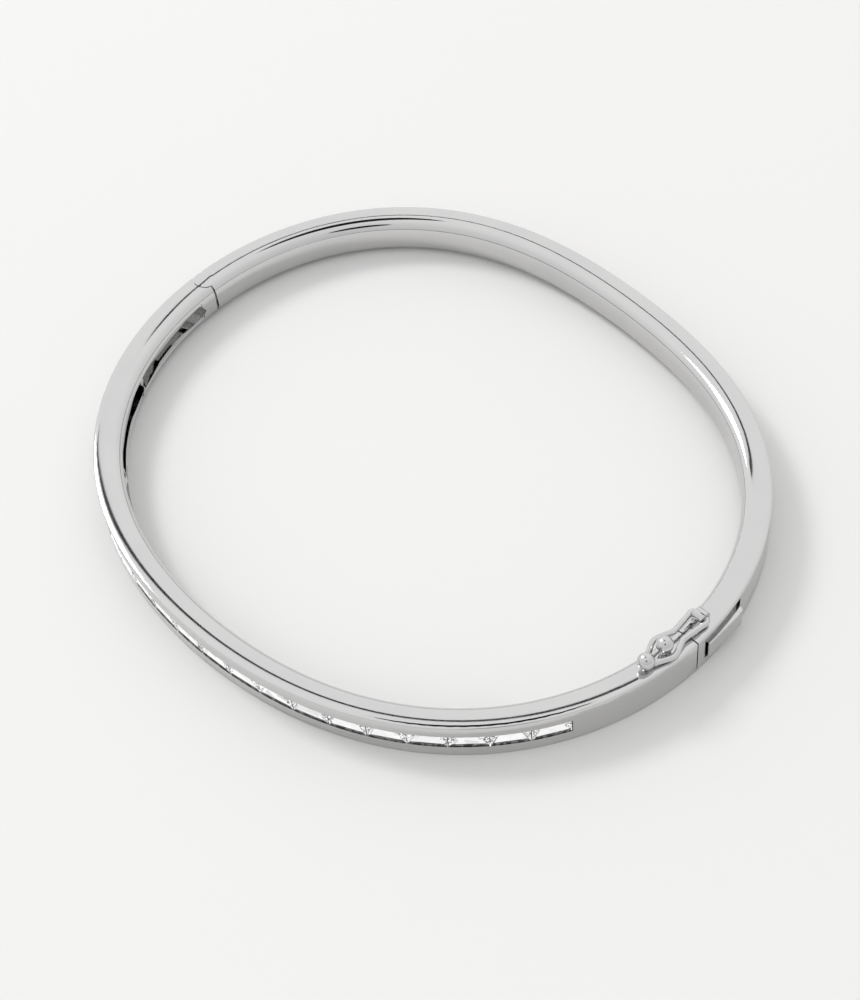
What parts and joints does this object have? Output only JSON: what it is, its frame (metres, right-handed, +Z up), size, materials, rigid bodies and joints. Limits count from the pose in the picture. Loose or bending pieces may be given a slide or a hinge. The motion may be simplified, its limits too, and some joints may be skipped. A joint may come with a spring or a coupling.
{
  "type": "hinged bangle bracelet",
  "caption": "Slim oval hinged bangle in polished white metal with channel-set baguette stones along one half, a push-pad box clasp and a figure-of-eight safety catch.",
  "frame": {"origin": "middle of the wrist opening, on the plane that the closed bangle lies on", "axes": "+Z up out of that plane, with the safety catch on the upper side; +X towards the clasp and -X towards the hinge; -Y the half with the stones, +Y the plain half"},
  "size_m": [0.0649, 0.0545, 0.0055],
  "materials": {
    "polished_metal": "bright polished white metal",
    "spring_metal": "fine drawn white metal",
    "clear_stone": "colourless faceted stone"
  },
  "bodies": {
    "plain_side": {"plain_half": "polished_metal", "safety_lug": "polished_metal", "knuckle_bottom": "polished_metal", "knuckle_top": "polished_metal", "hinge_pin": "spring_metal", "thumb_pad_pin": "spring_metal"},
    "stone_side": {"stone_half": "polished_metal", "tongue_strip": "spring_metal", "catch_stud": "polished_metal", "knuckle_middle": "polished_metal", "stone_01": "clear_stone", "stone_02": "clear_stone", "stone_03": "clear_stone", "stone_04": "clear_stone", "stone_05": "clear_stone", "stone_06": "clear_stone", "stone_07": "clear_stone", "stone_08": "clear_stone", "stone_09": "clear_stone", "stone_10": "clear_stone", "stone_11": "clear_stone", "stone_12": "clear_stone", "stone_13": "clear_stone", "stone_14": "clear_stone", "stone_15": "clear_stone", "stone_16": "clear_stone", "stone_17": "clear_stone", "stone_18": "clear_stone", "stone_19": "clear_stone", "stone_20": "clear_stone", "stone_21": "clear_stone"},
    "catch": {"safety_loop": "polished_metal", "tip_ball": "polished_metal"},
    "pad": {"thumb_pad": "polished_metal"},
    "leaf": {"tongue_leaf": "spring_metal"}
  },
  "joints": [
    {"name": "main_hinge", "type": "hinge", "parent": "plain_side", "child": "stone_side", "pos_m": [-0.03105, 0.00005, 0.0019], "axis": [0, 0, -1], "range_deg": [0, 60]},
    {"name": "safety_catch_pivot", "type": "hinge", "parent": "plain_side", "child": "catch", "pos_m": [0.03101, 0.00201, 0.00426], "axis": [-1, 0.0094, 0], "range_deg": [0, 150]},
    {"name": "pad_press", "type": "hinge", "parent": "plain_side", "child": "pad", "pos_m": [0.03126, 0.00536, 0.0019], "axis": [0, 0, -1], "range_deg": [0, 6], "stiffness_Nm_per_rad": 0.05},
    {"name": "leaf_flex", "type": "hinge", "parent": "stone_side", "child": "leaf", "pos_m": [0.03044, 0.00632, 0.0019], "axis": [0, 0, -1], "range_deg": [0, 5.5]}
  ],
  "couplings": [
    {"joint": "leaf_flex", "follows": "pad_press", "ratio": 0.88}
  ]
}
